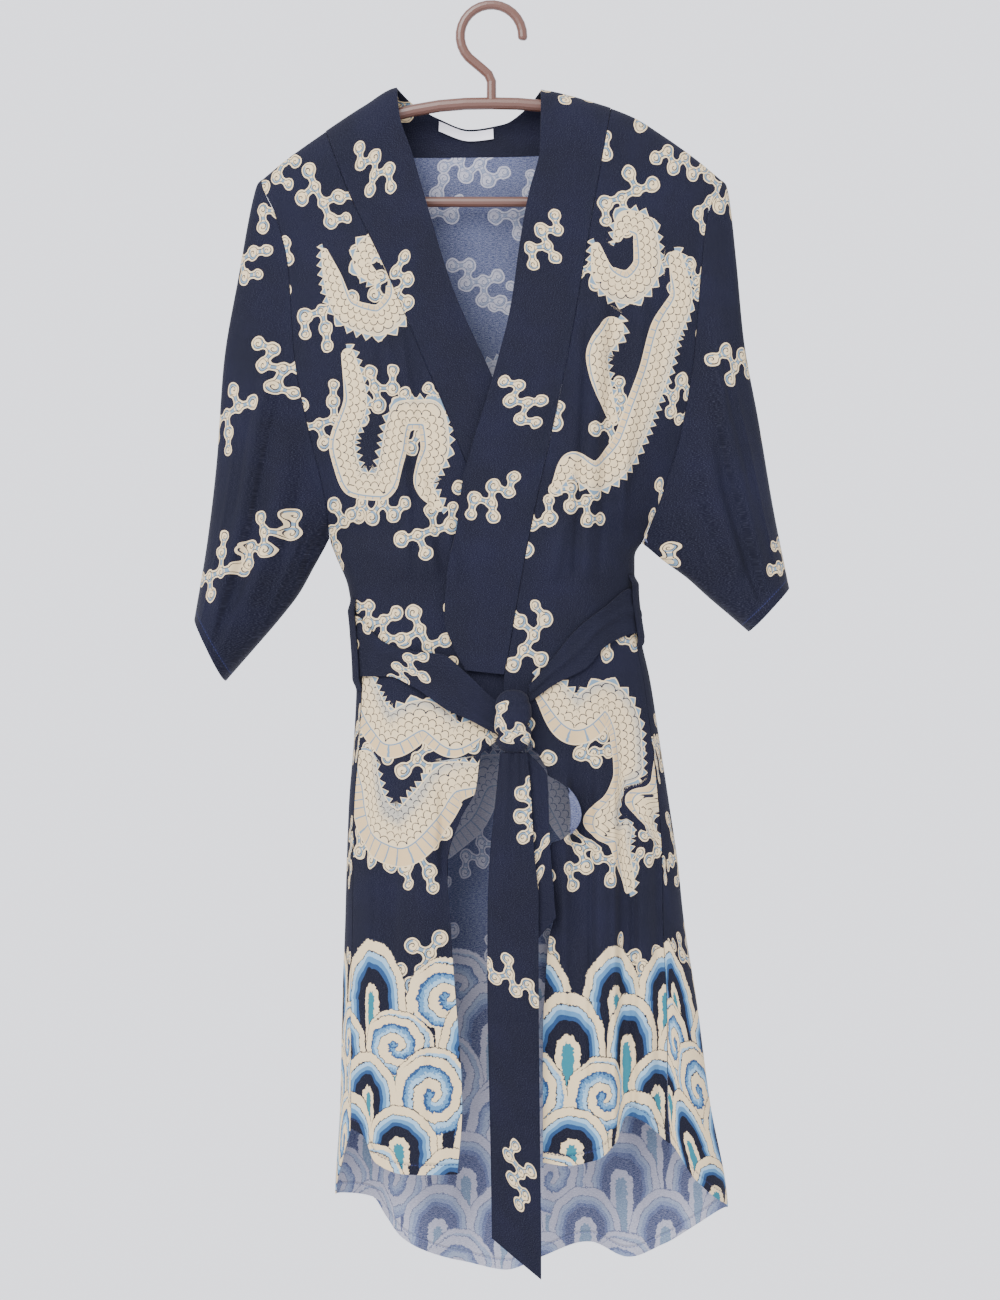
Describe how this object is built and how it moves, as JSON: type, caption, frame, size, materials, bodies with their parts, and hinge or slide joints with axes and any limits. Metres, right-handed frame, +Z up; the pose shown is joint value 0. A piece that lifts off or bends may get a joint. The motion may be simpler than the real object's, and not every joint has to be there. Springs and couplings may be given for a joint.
{
  "type": "kimono robe on hanger",
  "caption": "Cotton wrap robe with a high-low hem, a neck band and a tied belt, hung flat on a moulded hanger with a hook.",
  "frame": {"origin": "the seat at the inner top of the hanger's hook, where a rail carries it", "axes": "+Z up along the hang, -Y the robe's front, +X the wearer's left"},
  "size_m": [0.57, 0.1369, 1.2278],
  "materials": {
    "hanger_plastic": "moulded, brown, soft sheen",
    "robe_cloth": "printed plain-weave cotton, navy ground",
    "band_cloth": "doubled plain-weave cotton, navy ground",
    "belt_cloth": "doubled plain-weave cotton, navy ground",
    "label_cloth": "blank woven tape, off-white"
  },
  "bodies": {
    "root": {"hanger": "hanger_plastic", "back": "robe_cloth", "front_right": "robe_cloth", "front_left": "robe_cloth", "sleeve_right": "robe_cloth", "sleeve_left": "robe_cloth", "band_right": "band_cloth", "band_left": "band_cloth", "neck_label": "label_cloth", "belt": "belt_cloth", "belt_knot": "belt_cloth", "belt_tail_long": "belt_cloth", "belt_tail_short": "belt_cloth", "belt_loop_right": "belt_cloth", "belt_loop_left": "belt_cloth"}
  },
  "joints": []
}
